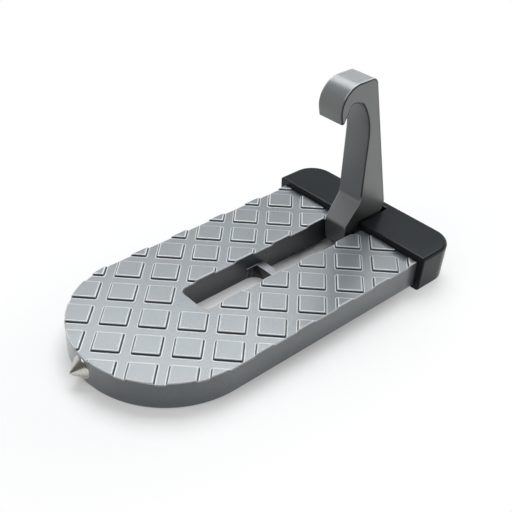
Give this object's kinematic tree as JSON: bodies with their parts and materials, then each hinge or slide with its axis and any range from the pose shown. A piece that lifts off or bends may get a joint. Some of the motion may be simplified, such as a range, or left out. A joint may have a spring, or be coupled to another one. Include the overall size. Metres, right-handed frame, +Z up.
{
  "type": "folding car door step",
  "caption": "Flat cast step with a raised diamond tread, a fold-up hook that hangs on a door striker, a rubber end cap and a pointed hammer tip.",
  "frame": {"origin": "centre of the bottom face of the object's box, with the hook upright", "axes": "+X along the plate from the hammer tip to the end cap, +Z up from the tread, +Y across the plate"},
  "size_m": [0.1468, 0.076, 0.0742],
  "materials": {
    "cast_plate": "satin silver coat on a casting",
    "cast_hook": "semi-gloss silver coat on a casting",
    "pin_steel": "ground",
    "spacer": "matte",
    "cap_rubber": "matte moulded",
    "tip_steel": "turned and polished"
  },
  "bodies": {
    "step": {"step_plate": "cast_plate", "hinge_pin": "pin_steel", "spacer_near": "spacer", "spacer_far": "spacer", "end_cap": "cap_rubber", "hammer_tip": "tip_steel"},
    "hook": {"hook": "cast_hook"}
  },
  "joints": [
    {"name": "hook_fold", "type": "hinge", "parent": "step", "child": "hook", "pos_m": [0.05527, 0, 0.00805], "axis": [0, -1, 0], "range_deg": [0, 90]}
  ]
}
